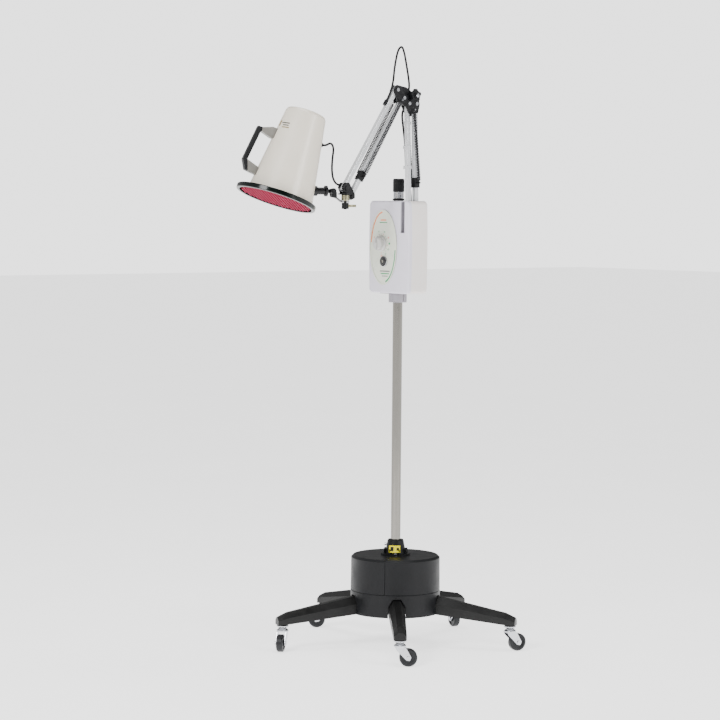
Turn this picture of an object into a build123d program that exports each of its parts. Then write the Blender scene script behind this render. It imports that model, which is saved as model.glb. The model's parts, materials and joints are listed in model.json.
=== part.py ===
"""Mobile red-light treatment lamp: castor base, mast, control box, balanced arm and lamp head.

Units are millimetres, degrees where noted.  The origin is on the mast's axis at floor level,
+Z is up and the control panel faces -Y.  The arm works in a plane parallel to YZ at X = ARM_X.
"""
import os
from math import atan2, cos, degrees, hypot, pi, radians, sin, sqrt, tan

from build123d import *

os.makedirs("parts", exist_ok=True)

# ---------------------------------------------------------------- driving dimensions
LEG_COUNT = 5
LEG_FIRST_ANGLE = -37.5
LEG_TIP_R = 358.0
CASTER_R = 341.0
CASTER_TRAILS = (52.0, 75.0, 165.0, 232.0, -50.0)   # direction in which each wheel trails
LEG_UNDERSIDE = 74.0
HUB_APOTHEM = 80.0
HUB_BOTTOM = 100.0
HUB_TOP = 156.0
COVER_R = 129.0
ARCH_HALF = 25.0
ARCH_CROWN_HALF = 11.5
ARCH_SHOULDER = 128.0
ARCH_TOP = 149.5
COVER_WALL = 4.0
SKIRT_BOTTOM = 96.0
SKIRT_TOP = 160.0
COVER_TOP = 261.0
COVER_SEAM_ANGLE = -53.4

MAST_R = 14.0
MAST_TOP = 1306.0
COLLAR_R = 26.0
COLLAR_Z = (990.0, 1015.0)

BOX_WIDTH = 180.0
BOX_DEPTH = 72.0
BOX_BOTTOM = 1016.0
BOX_TOP = 1280.0
BOX_WALL = 3.0
BOX_SPLIT_Y = -24.0
SLOT_X = (53.0, 70.0)
SLOT_BOTTOM = 1189.0

ARM_X = 61.0
TUBE = 13.0
TUBE_WALL = 1.2
TUBE_END = 8.0
PIN_R = 3.0
PIN_FIT = 0.08
PLATE_T = 3.0
PLATE_GAP = 0.5
SPRING_OFFSET = 16.5
SPRING_R = 5.5
SPRING_BORE_R = 3.9

LOWER_LEAN = 1.5
LOWER_LENGTH = 385.0
UPPER_FOLD = 33.7
UPPER_LENGTH = 335.0
A0 = (-12.5, 1170.0)
B0 = (14.5, 1170.0)
C0 = (-65.8, 1592.0)
D0 = (-42.0, 1570.0)

STUD = (68.0, -250.0)
HEAD_YAW = 20.0
TILT_REACH = 40.0
TILT_Z = 1305.6
HEAD_REACH = 201.0
HEAD_FACE_Z = 1286.0
HEAD_LEAN = 19.0
HEAD_SIDE_LEAN = 3.5
RIM_R = 113.0
SHELL_BASE_R = 92.0
SHELL_TOP_R = 56.0
SHELL_OFFSET = 10.0
SHELL_HEIGHT = 252.0
SHELL_WALL = 2.0

CABLE_R = 3.0


# ---------------------------------------------------------------- helpers
def along(start, angle, distance):
    """A point (y, z) at a distance up a bar that leans by angle from vertical towards -Y."""
    return (start[0] - distance * sin(radians(angle)), start[1] + distance * cos(radians(angle)))


A1 = along(A0, LOWER_LEAN, LOWER_LENGTH)
B1 = along(B0, LOWER_LEAN, LOWER_LENGTH)
C1 = along(C0, -UPPER_FOLD, -UPPER_LENGTH)
D1 = along(D0, -UPPER_FOLD, -UPPER_LENGTH)
LOWER_HOOK = (-10.0, 1538.0)
UPPER_HOOK = (-56.0, 1563.0)


def save(name, *solids):
    """Write one node, whose separate pieces stay separate solids."""
    pieces = []
    for item in solids:
        pieces.extend(item.solids())
    shape = pieces[0] if len(pieces) == 1 else Compound(children=pieces)
    export_step(shape, f"parts/{name}.step")


def rod(radius, start, end):
    """A round bar from one point to another."""
    path = Vector(*end) - Vector(*start)
    plane = Plane(origin=start, z_dir=path)
    return extrude(plane * Circle(radius), path.length)


def cross_pin(radius, point, x_low, x_high):
    """A round bar along X through a point (y, z) of the arm's plane."""
    return rod(radius, (x_low, point[0], point[1]), (x_high, point[0], point[1]))


def upright(radius, z_low, z_high, x=0.0, y=0.0):
    """A round vertical bar."""
    return Pos(x, y, z_low) * Cylinder(radius, z_high - z_low, align=(Align.CENTER, Align.CENTER, Align.MIN))


def slab(x_range, y_range, z_range):
    """A box between two corners."""
    size = (x_range[1] - x_range[0], y_range[1] - y_range[0], z_range[1] - z_range[0])
    middle = (sum(x_range) / 2, sum(y_range) / 2, sum(z_range) / 2)
    return Pos(*middle) * Box(*size)


def turned(profile):
    """A solid turned about Z from a closed outline of (radius, z) points."""
    return revolve(make_face(Polyline([(r, 0, z) for r, z in profile], close=True)), Axis.Z)


def side_plate(outline, x_low, thickness, corner):
    """A flat plate in the arm's plane, from a (y, z) outline with rounded corners."""
    face = make_face(Polyline([(x_low, y, z) for y, z in outline], close=True))
    face = fillet(face.vertices(), corner)
    return extrude(face, thickness, dir=(1, 0, 0))


def arm_bar(start, end):
    """A hollow square tube between two pivots (y, z), drilled for both pivot pins."""
    run = hypot(end[0] - start[0], end[1] - start[1])
    lean = degrees(atan2(start[0] - end[0], end[1] - start[1]))
    length = run + 2 * TUBE_END
    bar = Box(TUBE, TUBE, length)
    bar = fillet(bar.edges().filter_by(Axis.Z), 1.5)
    bar -= Box(TUBE - 2 * TUBE_WALL, TUBE - 2 * TUBE_WALL, length)
    middle = (ARM_X, (start[0] + end[0]) / 2, (start[1] + end[1]) / 2)
    bar = Pos(*middle) * Rot(X=lean) * bar
    for point in (start, end):
        bar -= cross_pin(PIN_R + PIN_FIT, point, ARM_X - TUBE, ARM_X + TUBE)
    return bar


def cord(points, radius):
    """A round cord along straight runs joined by tangent arcs; prints its radii and volume ratio."""
    stops = [Vector(*p) for p in points]
    radii = []
    for before, here, after in zip(stops, stops[1:], stops[2:]):
        turn = radians((here - before).get_angle(after - here))
        shorter = min((here - before).length, (after - here).length)
        radii.append(0.45 * shorter / tan(turn / 2))
    path = FilletPolyline(*stops, radius=radii)
    tube = sweep(Plane(origin=path @ 0, z_dir=path % 0) * Circle(radius), path)
    ratio = tube.volume / (pi * radius**2 * path.length)
    print(f"cord {path.length:.0f} mm, least radius {min(radii):.0f} mm, volume ratio {ratio:.4f}")
    return tube


# ---------------------------------------------------------------- castor base
def leg(angle):
    """One moulded leg: a bevelled beam that thins and drops towards its tip."""
    root_r = HUB_APOTHEM
    slope_r = LEG_TIP_R - 30.0
    chamfer_r = LEG_TIP_R - 5.0
    stations = (
        (root_r, 23.5, 101.0, 156.0, 0.42),
        (slope_r, 18.6, LEG_UNDERSIDE + 2.0, 108.0, 0.42),
        (chamfer_r, 18.2, LEG_UNDERSIDE, 97.0, 0.42),
        (LEG_TIP_R, 15.0, LEG_UNDERSIDE, 95.0, 0.42),
    )
    faces = []
    for r, half, bottom, top, crown in stations:
        shoulder = bottom + 0.58 * (top - bottom)
        flat = crown * half
        outline = ((-half, bottom), (half, bottom), (half, shoulder), (flat, top), (-flat, top),
                   (-half, shoulder))
        faces.append(make_face(Polyline([(r, y, z) for y, z in outline], close=True)))
    beam = loft(faces, ruled=True)
    beam -= rod(5.0, (root_r - 1, 0, 128), (root_r + 26, 0, 128))
    beam -= upright(5.5, 60, 92, CASTER_R)
    return Rot(Z=angle) * beam


def leg_angle(index):
    return LEG_FIRST_ANGLE + 360.0 / LEG_COUNT * index


def hub_casting():
    """Cast-iron pentagon that holds the legs and is the base's ballast."""
    circumradius = HUB_APOTHEM / cos(pi / LEG_COUNT)
    hub = Pos(0, 0, HUB_BOTTOM) * extrude(RegularPolygon(circumradius, LEG_COUNT), HUB_TOP - HUB_BOTTOM)
    vertex_angle = degrees(atan2(hub.vertices()[0].Y, hub.vertices()[0].X))
    hub = Rot(Z=LEG_FIRST_ANGLE + 180.0 / LEG_COUNT - vertex_angle) * hub
    hub += upright(72.0, HUB_TOP, 214.0)
    hub -= upright(MAST_R, HUB_BOTTOM - 1, 215)
    for index in range(LEG_COUNT):
        hub -= Rot(Z=leg_angle(index)) * rod(5.0, (54, 0, 128), (HUB_APOTHEM + 1, 0, 128))
    return hub


def skirt_ring():
    """Ring below the covers, arched over each leg."""
    ring = upright(COVER_R, SKIRT_BOTTOM, SKIRT_TOP) - upright(COVER_R - COVER_WALL, SKIRT_BOTTOM - 1, SKIRT_TOP + 1)
    floor = upright(COVER_R - 1, SKIRT_TOP - 3, SKIRT_TOP) - upright(73, SKIRT_TOP - 4, SKIRT_TOP + 1)
    ring += floor
    half = ARCH_HALF
    outline = ((-half, SKIRT_BOTTOM - 16), (half, SKIRT_BOTTOM - 16), (half, ARCH_SHOULDER),
               (ARCH_CROWN_HALF, ARCH_TOP), (-ARCH_CROWN_HALF, ARCH_TOP), (-half, ARCH_SHOULDER))
    arch = make_face(Polyline([(0, y, z) for y, z in outline], close=True))
    cutter = Pos(100, 0, 0) * extrude(arch, 40, dir=(1, 0, 0))
    for index in range(LEG_COUNT):
        ring -= Rot(Z=leg_angle(index)) * cutter
    return ring


def drum_covers():
    """Two moulded half covers over the hub, met on a vertical seam."""
    top_r = COVER_R - 1.0
    outline = ((COVER_R - 1.4, SKIRT_TOP), (COVER_R, SKIRT_TOP + 1.8), (top_r, COVER_TOP - 6), (top_r - 6, COVER_TOP), (36, COVER_TOP),
               (36, COVER_TOP - COVER_WALL), (top_r - 8, COVER_TOP - COVER_WALL),
               (top_r - COVER_WALL, COVER_TOP - 8), (COVER_R - COVER_WALL, SKIRT_TOP))
    drum = turned(outline)
    gap = 1.2
    half = Pos(0, 200 + gap / 2, 200) * Box(400, 400, 400)
    left = Rot(Z=COVER_SEAM_ANGLE) * half
    right = Rot(Z=COVER_SEAM_ANGLE + 180) * half
    return drum & left, drum & right


def column_socket():
    """Ribbed boot that steadies the mast on top of the covers, with a wide foot."""
    foot = upright(42.0, COVER_TOP, 266)
    boot = turned(((0, 266), (30, 266), (29, 272), (23.3, 303), (21, 306), (0, 306)))
    boot += foot
    for index in range(8):
        rib = Rot(Z=45.0 * index + 22.5) * (Pos(29, 0, 266) * Box(14, 3, 26, align=(Align.CENTER, Align.CENTER, Align.MIN)))
        boot += rib - upright(60, 292 - 12, 340)
    boot += upright(35.5, COVER_TOP - COVER_WALL, COVER_TOP)
    for sign in (-1, 1):
        boot -= Rot(Z=-40) * upright(2.5, COVER_TOP - 1, 268, 37.5 * sign)
    boot -= Rot(Z=-150) * rod(2.5, (13, 0, 290), (40, 0, 290))
    boot -= upright(MAST_R, 200, 320)
    return boot


def base_screws():
    """Leg studs, the boot's two ear screws and its set screw."""
    pieces = []
    for index in range(LEG_COUNT):
        pieces.append(Rot(Z=leg_angle(index)) * rod(5.0, (54.5, 0, 128), (HUB_APOTHEM + 25.5, 0, 128)))
    for sign in (-1, 1):
        shank = Rot(Z=-40) * upright(2.5, COVER_TOP, 266, 37.5 * sign)
        head = Rot(Z=-40) * (upright(4.0, 266, 269, 37.5 * sign) - upright(1.6, 267.4, 270, 37.5 * sign))
        pieces.append(shank + head)
    set_screw = rod(2.5, (MAST_R + 0.1, 0, 290), (29, 0, 290)) + rod(4.0, (29, 0, 290), (33, 0, 290))
    pieces.append(Rot(Z=-150) * set_screw)
    return pieces


def caster_place(index):
    """Swivel axis (x, y) of a castor."""
    angle = radians(leg_angle(index))
    return CASTER_R * cos(angle), CASTER_R * sin(angle)


def caster_stem(x, y):
    """Threaded stem and upper race cup, fixed in the leg."""
    stem = upright(5.5, 56, 92, x, y)
    cup = Pos(x, y, 0) * turned(((0, 66), (13, 66), (17, 69), (17, 71.5), (12, LEG_UNDERSIDE), (0, LEG_UNDERSIDE)))
    return stem + cup


WHEEL_R = 25.0
WHEEL_HALF = 9.5
TRAIL = 23.0
FORK_INNER = 11.5
FORK_T = 2.0


def caster_fork():
    """Stamped fork with its lower race cup and the wheel's axle, trailing along +X."""
    cup = turned(((0, 55.5), (17.2, 55.5), (17.2, 58.5), (13, 62.5), (0, 62.5)))
    outer = FORK_INNER + FORK_T
    crown = slab((-14, 14), (-outer, outer), (53.5, 55.5))
    cheek_outline = ((-14, 55.5), (15, 55.5), (TRAIL + 8, WHEEL_R + 2), (TRAIL + 4, WHEEL_R - 8),
                     (TRAIL - 6, WHEEL_R - 6), (-10, 47))
    cheek = make_face(Polyline([(x, 0, z) for x, z in cheek_outline], close=True))
    cheek = fillet(cheek.vertices().filter_by(lambda v: v.Z < 40), 3.0)
    fork = cup + crown
    for y_low in (FORK_INNER, -outer):
        fork += Pos(0, y_low, 0) * extrude(cheek, FORK_T, dir=(0, 1, 0))
    fork -= upright(5.56, 50, 64)
    axle = rod(3.0, (TRAIL, -outer - 3, WHEEL_R), (TRAIL, outer + 3, WHEEL_R))
    heads = rod(5.5, (TRAIL, outer, WHEEL_R), (TRAIL, outer + 3, WHEEL_R))
    heads += rod(5.5, (TRAIL, -outer - 3, WHEEL_R), (TRAIL, -outer, WHEEL_R))
    fork -= rod(3.0, (TRAIL, -outer - 1, WHEEL_R), (TRAIL, outer + 1, WHEEL_R))
    return [fork, axle + heads]


def caster_wheel():
    """Rubber wheel with a stepped hub, turning on the fork's axle."""
    outline = ((3.05, -10.8), (9, -10.8), (9, -7.5), (17, -7.5), (17, -WHEEL_HALF), (22, -WHEEL_HALF),
               (WHEEL_R, -6.5), (WHEEL_R, 6.5), (22, WHEEL_HALF), (17, WHEEL_HALF), (17, 7.5), (9, 7.5),
               (9, 10.8), (3.05, 10.8))
    return Pos(TRAIL, 0, WHEEL_R) * Rot(X=90) * turned(outline)


# ---------------------------------------------------------------- mast and control box
def mast():
    """Round steel tube from the hub to the neck above the box."""
    return upright(MAST_R, HUB_BOTTOM + 2, MAST_TOP) - upright(MAST_R - 1.6, HUB_BOTTOM + 1, MAST_TOP + 1)


def mast_cap():
    """Black plug on the mast's top with a skirt over the neck and a spigot in the bore."""
    cap = turned(((0, MAST_TOP), (16.5, MAST_TOP), (16.5, 1341), (14, 1343.5), (0, 1343.5)))
    return cap + upright(MAST_R - 1.6, MAST_TOP - 18, MAST_TOP)


def mast_collar():
    """Split clamp collar that carries the box."""
    collar = upright(COLLAR_R, *COLLAR_Z) - upright(MAST_R, COLLAR_Z[0] - 1, COLLAR_Z[1] + 1)
    collar -= slab((10, 30), (-1, 1), (COLLAR_Z[0] - 1, COLLAR_Z[1] + 1))
    return collar


def box_outline(inset):
    """Front outline of the box with softly bulged sides, shrunk all round by inset."""
    half = BOX_WIDTH / 2 - inset
    low = BOX_BOTTOM + inset
    high = BOX_TOP - inset
    mid = (low + high) / 2
    bulge = 3.0
    soft = 13.0 - inset
    edge = half - bulge
    lines = Curve() + [
        Line((-edge, low), (edge, low)),
        ThreePointArc((edge, low), (half, mid), (edge, high)),
        Line((edge, high), (-edge, high)),
        ThreePointArc((-edge, high), (-half, mid), (-edge, low)),
    ]
    face = make_face(lines)
    return fillet(face.vertices(), soft)


def box_shells():
    """Front and rear halves of the control box, slotted for the arm and bored for the mast."""
    half_depth = BOX_DEPTH / 2
    outer = extrude(Pos(0, half_depth, 0) * Rot(X=90) * box_outline(0.0), BOX_DEPTH)
    outer = fillet(outer.faces().filter_by(Axis.Y).edges(), 5.0)
    inner_depth = BOX_DEPTH - 2 * BOX_WALL
    inner = extrude(Pos(0, half_depth - BOX_WALL, 0) * Rot(X=90) * box_outline(BOX_WALL), inner_depth)
    box = outer - inner
    box -= slab(SLOT_X, (-half_depth - 1, 30), (SLOT_BOTTOM, BOX_TOP + 1))
    box -= upright(15.0, BOX_BOTTOM - 1, BOX_TOP + 1)
    box -= Pos(*KNOB_AXIS) * Rot(X=90) * Cylinder(5.5, 20)
    box -= Pos(*SWITCH_AXIS) * Rot(X=90) * Cylinder(12.2, 20)
    for x, z in SCREW_PLACES:
        box -= rod(1.9, (x, 31, z), (x, half_depth + 1, z))
    box -= slab((INLET_X - 14, INLET_X + 14), (-11, 11), (BOX_BOTTOM - 1, BOX_BOTTOM + BOX_WALL + 1))
    front = box & slab((-100, 100), (-half_depth, BOX_SPLIT_Y), (BOX_BOTTOM, BOX_TOP))
    rear = box & slab((-100, 100), (BOX_SPLIT_Y, half_depth), (BOX_BOTTOM, BOX_TOP))
    for x, z in SCREW_PLACES:
        rear += rod(4.5, (x, BOX_SPLIT_Y + 6, z), (x, 33.5, z)) - rod(1.9, (x, BOX_SPLIT_Y, z), (x, 34, z))
    return front, rear


PANEL_CENTRE = (-22.0, 1147.0)
PANEL_SIZE = (120.0, 214.0)
KNOB_AXIS = (-31.0, -34.5, 1158.0)
SWITCH_AXIS = (-19.0, -34.5, 1107.0)
SCREW_PLACES = ((-76.0, 1032.0), (76.0, 1032.0), (-76.0, 1264.0), (-76.0, 1148.0))
INLET_X = -45.0
PANEL_FRONT = -BOX_DEPTH / 2 - 1.2


def control_panel():
    """Oval fascia with a raised rim, bored for the timer spindle and the switch."""
    x, z = PANEL_CENTRE
    place = Pos(x, -BOX_DEPTH / 2, z) * Rot(X=90)
    plate = place * extrude(Ellipse(PANEL_SIZE[0] / 2 - 2, PANEL_SIZE[1] / 2 - 2), 1.2)
    rim = Ellipse(PANEL_SIZE[0] / 2, PANEL_SIZE[1] / 2) - Ellipse(PANEL_SIZE[0] / 2 - 3.5, PANEL_SIZE[1] / 2 - 3.5)
    panel = plate + place * extrude(rim, 2.6)
    panel -= Pos(*KNOB_AXIS) * Rot(X=90) * Cylinder(5.5, 20)
    panel -= Pos(*SWITCH_AXIS) * Rot(X=90) * Cylinder(12.2, 20)
    return panel


def timer_knob():
    """Skirted timer knob with a pointer ridge and its spindle."""
    x, _, z = KNOB_AXIS
    outline = ((0, 0.6), (22.5, 0.6), (22.5, 4), (19, 6), (17.5, 17), (16, 18.5), (0, 18.5))
    knob = turned(outline)
    knob += Pos(0, 0, 12) * Box(5, 36, 16, align=(Align.CENTER, Align.CENTER, Align.CENTER)) & upright(17.8, 0, 20)
    knob += upright(3.0, -8.5, 1)
    return Pos(x, PANEL_FRONT, z) * Rot(X=90) * knob


def power_switch():
    """Round push switch: a button that travels in its fixed bezel."""
    x, _, z = SWITCH_AXIS
    bezel = turned(((9.6, 0), (15, 0), (15, 2), (13.5, 3.4), (9.6, 3.4)))
    barrel = upright(12.2, -14, 0) - upright(9.6, -11, 1)
    button = turned(((0, -8), (9.3, -8), (9.3, 4.4), (8, 5.6), (0, 5.6)))
    place = Pos(x, PANEL_FRONT, z) * Rot(X=90)
    return place * (bezel + barrel), place * button


def power_supply():
    """Transformer, driver board and timer body inside the box."""
    board = slab((-84, -82), (-26, 26), (1036, 1130))
    transformer = slab((-72, -28), (-10, 26), (1040, 1090))
    transformer = fillet(transformer.edges().filter_by(Axis.Y), 4)
    timer_body = Pos(KNOB_AXIS[0], -26.5, KNOB_AXIS[2]) * Box(44, 10, 44)
    timer_body -= rod(3.06, (KNOB_AXIS[0], -33, KNOB_AXIS[2]), (KNOB_AXIS[0], -28, KNOB_AXIS[2]))
    return [board, transformer, timer_body]


def mains_inlet():
    """Appliance inlet in the box's underside."""
    body = slab((INLET_X - 14, INLET_X + 14), (-11, 11), (BOX_BOTTOM, BOX_BOTTOM + 18))
    body += slab((INLET_X - 18, INLET_X + 18), (-14, 14), (BOX_BOTTOM - 2, BOX_BOTTOM))
    body -= slab((INLET_X - 11.5, INLET_X + 11.5), (-8, 8), (BOX_BOTTOM - 3, BOX_BOTTOM + 15))
    pins = []
    for dx, dy in ((-7, -2), (0, 2.5), (7, -2)):
        pins.append(slab((INLET_X + dx - 1, INLET_X + dx + 1), (dy - 2, dy + 2), (BOX_BOTTOM + 3, BOX_BOTTOM + 15)))
    return [body] + pins


def arm_bracket():
    """Steel bracket that turns on the mast inside the box and carries the arm's two lower pins."""
    z_low, z_high = 1147.0, 1184.0
    bracket = upright(20.0, 1120, z_high)
    bracket += slab((0, 71), (-19, 25), (z_low, z_low + 4))
    for x in (51.0, 68.0):
        bracket += slab((x, x + PLATE_T), (-22, 25), (z_low, z_high))
    bracket -= upright(MAST_R + 0.06, 1119, z_high + 1)
    pins = []
    for point in (A0, B0):
        bracket -= cross_pin(PIN_R, point, 50, 72)
        pins.append(cross_pin(PIN_R, point, 51, 71) + cross_pin(5.0, point, 71, 74))
    return [bracket] + pins


# ---------------------------------------------------------------- arm
def elbow_plates():
    """Two cheek plates that hold the four elbow pivots, joined by three spacers."""
    outline = ((-80, 1590), (-70, 1606), (-34, 1600), (12, 1572), (16, 1552), (10, 1528), (-24, 1526),
               (-36, 1546), (-66, 1558))
    inner = ARM_X - TUBE / 2 - PLATE_GAP
    outer = ARM_X + TUBE / 2 + PLATE_GAP
    left = side_plate(outline, inner - PLATE_T, PLATE_T, 5.0)
    right = side_plate(outline, outer, PLATE_T, 5.0)
    clip_y, clip_z = A1
    saddle = slab((42.4, inner - PLATE_T), (clip_y - 5, clip_y + 5), (clip_z + 1, clip_z + 7))
    saddle -= upright(CABLE_R + 0.4, clip_z - 1, clip_z + 8, CABLE_X_OUT, clip_y)
    knob_stud = rod(4.0, (outer + PLATE_T, -9, 1578), (outer + PLATE_T + 5, -9, 1578))
    fitting = slab((outer, outer + PLATE_T), (-20, -14), (1519, 1527))
    plates = [left + saddle, right + knob_stud + fitting]
    for y, z in ((-30.0, 1588.0), (-12.0, 1579.0)):
        plates.append(cross_pin(3.5, (y, z), inner, outer))
    for point in (A1, B1, C0, D0, LOWER_HOOK, UPPER_HOOK):
        hole = cross_pin(PIN_R if point not in (LOWER_HOOK, UPPER_HOOK) else HOOK_PIN_R, point, 40, 90)
        plates[0] -= hole
        plates[1] -= hole
    return plates


HOOK_PIN_R = 2.0
CABLE_X_OUT = 47.2


def elbow_pins():
    """The four elbow pivots and the two long pins that the springs hook on."""
    pins = []
    for point in (A1, B1, C0, D0):
        pin = cross_pin(PIN_R, point, 51, 71) + cross_pin(5.0, point, 71, 73.5)
        if point in (C0, D0):
            pin += cross_pin(5.0, point, 48.5, 51)
        pins.append(pin)
    cheek = TUBE / 2 + PLATE_GAP
    for point in (LOWER_HOOK, UPPER_HOOK):
        pins.append(cross_pin(HOOK_PIN_R, point, ARM_X - SPRING_OFFSET - 5, ARM_X - cheek))
        pins.append(cross_pin(HOOK_PIN_R, point, ARM_X + cheek, ARM_X + SPRING_OFFSET + 5))
    return pins


def elbow_knob():
    """Lobed friction knob on the elbow's right cheek."""
    x_low = ARM_X + TUBE / 2 + PLATE_GAP + PLATE_T + 5.2
    body = Circle(14.5)
    for index in range(5):
        body += Rot(Z=72.0 * index) * (Pos(13, 0) * Circle(5.5))
    knob = extrude(body, 9) + extrude(Circle(9), 11)
    knob = Plane(origin=(x_low, -9, 1578), z_dir=(1, 0, 0)) * knob
    return knob


def coil_spring(start, end):
    """A pair of tension springs as sleeves, with a hook wire at each end."""
    solids = []
    lead = 12.0
    for sign in (-1, 1):
        x = ARM_X + sign * SPRING_OFFSET
        low = Vector(x, *start)
        high = Vector(x, *end)
        way = (high - low).normalized()
        inner_low = low + way * lead
        inner_high = high - way * lead
        sleeve = rod(SPRING_R, tuple(inner_low), tuple(inner_high)) - rod(SPRING_BORE_R, tuple(inner_low), tuple(inner_high))
        solids.append(sleeve)
    return solids


def spring_anchor(tube_start, lean, distance):
    """Moulded block round a tube with a cross pin for the two springs' lower ends."""
    y, z = along(tube_start, lean, distance)
    block = Box(TUBE + 6, TUBE + 4, 28) - Box(TUBE, TUBE, 30)
    block = Pos(ARM_X, y, z) * Rot(X=lean) * block
    block += cross_pin(HOOK_PIN_R, (y, z), ARM_X - SPRING_OFFSET - 5, ARM_X - TUBE / 2)
    block += cross_pin(HOOK_PIN_R, (y, z), ARM_X + TUBE / 2, ARM_X + SPRING_OFFSET + 5)
    return block


LOWER_ANCHOR_DISTANCE = 162.0
UPPER_ANCHOR_DISTANCE = -267.0
LOWER_ANCHOR = along(B0, LOWER_LEAN, LOWER_ANCHOR_DISTANCE)
UPPER_ANCHOR = along(D0, -UPPER_FOLD, UPPER_ANCHOR_DISTANCE)


def above_top_tube(distance, lift):
    """A point over the upper tube's top face, at a distance down from its upper pivot."""
    y, z = along(C0, -UPPER_FOLD, -distance)
    return (ARM_X, y - lift * cos(radians(UPPER_FOLD)), z + lift * sin(radians(UPPER_FOLD)))


GROMMET_START = 44.0
GROMMET_LIFT = TUBE / 2 + CABLE_R + 0.5


def cable_grommet():
    """Hooded grommet that leads the cable into the upper tube."""
    hood = rod(5.5, above_top_tube(GROMMET_START, GROMMET_LIFT), above_top_tube(GROMMET_START + 15, GROMMET_LIFT))
    y, z = along(C0, -UPPER_FOLD, -GROMMET_START - 7.5)
    keep = Pos(ARM_X, y, z) * Rot(X=-UPPER_FOLD) * Box(TUBE, TUBE, 40)
    return hood - keep


# ---------------------------------------------------------------- wrist
def head_dir():
    """Horizontal direction from the stud to the head."""
    return (-sin(radians(HEAD_YAW)), -cos(radians(HEAD_YAW)))


def reach_point(distance, z, side=0.0):
    """A point at a distance from the stud towards the head, and to its side."""
    ux, uy = head_dir()
    return (STUD[0] + ux * distance - uy * side, STUD[1] + uy * distance + ux * side, z)


def wrist_plates():
    """Two cheeks on the lower pivots, a bridge and the block that takes the swivel stud."""
    outline = ((-264, 1316), (-256, 1329), (-238, 1329), (-218, 1298), (-218, 1286), (-232, 1281), (-256, 1299))
    inner = ARM_X - TUBE / 2 - PLATE_GAP
    outer = ARM_X + TUBE / 2 + PLATE_GAP
    left = side_plate(outline, inner - PLATE_T, PLATE_T, 4.0)
    right = side_plate(outline, outer, PLATE_T, 4.0)
    boss = upright(10.5, 1279, 1296, *STUD)
    bridge = slab((inner - PLATE_T, outer + PLATE_T), (-262, -249), (1296, 1300))
    bridge += upright(10.5, 1296, 1300, *STUD)
    guide = rod(5.2, GUIDE_BACK, GUIDE_MOUTH)
    body = left + right + bridge
    body += guide
    body -= upright(4.0, 1270, 1310, *STUD)
    boss -= upright(4.0, 1270, 1310, *STUD)
    for point in (C1, D1):
        body -= cross_pin(PIN_R, point, 40, 90)
    return [body, boss]


GUIDE_BACK = (47.5, -240.0, 1325.0)
GUIDE_MOUTH = (47.5, -249.0, 1323.5)
GUIDE_AHEAD = (47.5, -261.0, 1321.5)


def wrist_pins():
    """Two lower pivots, the left hub cap and the swivel stud."""
    pins = [cross_pin(PIN_R, C1, 51, 71) + cross_pin(12.0, C1, 71.0, 77.5) + cross_pin(7.0, C1, 77.5, 80.0),
            cross_pin(PIN_R, D1, 51, 71) + cross_pin(5.0, D1, 71, 73.5)]
    pins.append(upright(4.0, 1255, 1300, *STUD))
    return pins


def link_bracket():
    """Bent flat link that swivels on the stud and rises to the tilt joint."""
    ux, uy = head_dir()
    plane = Plane(origin=reach_point(0, 0), x_dir=(ux, uy, 0), z_dir=(uy, -ux, 0))
    half = 8.0
    outline = ((-9, 1274.5), (12, 1274.5), (29, 1287), (29, 1290.2), (11, 1277.7), (-9, 1277.7))
    strap = make_face(Polyline(outline, close=True))
    strap = plane * strap
    strap = extrude(strap, half, both=True)
    strap -= upright(4.05, 1270, 1280, *STUD)
    ear = make_face(Polyline(((TILT_REACH - 13, 1286), (TILT_REACH + 2, 1289), (TILT_REACH + 6, 1304),
                              (TILT_REACH + 2, 1312), (TILT_REACH - 6, 1312), (TILT_REACH - 13, 1302)), close=True))
    ear = fillet(ear.vertices(), 2.0)
    ears = []
    for low, high in ((5.0, 8.0), (-8.0, -5.0)):
        cheek = plane * ear
        shift = Vector(-uy, ux, 0) * low
        ears.append(Pos(*shift) * extrude(cheek, high - low, dir=(-uy, ux, 0)))
    link = strap + ears[0] + ears[1]
    hole = rod(PIN_R, reach_point(TILT_REACH, TILT_Z, -12), reach_point(TILT_REACH, TILT_Z, 12))
    link -= hole
    pin = rod(PIN_R, reach_point(TILT_REACH, TILT_Z, -10), reach_point(TILT_REACH, TILT_Z, 9))
    pin += rod(5.5, reach_point(TILT_REACH, TILT_Z, -10), reach_point(TILT_REACH, TILT_Z, -8))
    return [link, pin]


def swivel_knob():
    """Knurled nut and wing lever under the swivel stud."""
    knob = upright(10.0, 1256.5, 1273.5, *STUD)
    lever = slab((STUD[0], STUD[0] + 30), (STUD[1] - 4, STUD[1] + 4), (1262, 1268))
    lever = Pos(STUD[0], STUD[1], 0) * Rot(Z=35) * (Pos(-STUD[0], -STUD[1], 0) * lever)
    knob += lever
    knob -= upright(4.06, 1250, 1280, *STUD)
    return knob


def tilt_knob():
    """Thumb knob on the end of the tilt pin."""
    low = reach_point(TILT_REACH, TILT_Z, 9.2)
    high = reach_point(TILT_REACH, TILT_Z, 19.2)
    cap = reach_point(TILT_REACH, TILT_Z, 21.2)
    return rod(8.0, low, high) + rod(5.0, high, cap)


# ---------------------------------------------------------------- lamp head
def head_frame():
    """Plane on the lamp's face: Z up through the shell, X towards the tilt joint."""
    ux, uy = head_dir()
    lean = sin(radians(HEAD_LEAN))
    side = sin(radians(HEAD_SIDE_LEAN))
    up = Vector(-lean * ux + side * uy, -lean * uy - side * ux, sqrt(1 - lean**2 - side**2))
    towards = Vector(-ux, -uy, 0)
    towards = (towards - up * towards.dot(up)).normalized()
    return Plane(origin=reach_point(HEAD_REACH, HEAD_FACE_Z), x_dir=towards, z_dir=up)


HEAD = head_frame()
RIM_LOW = -6.0
RIM_HIGH = 7.0


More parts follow.
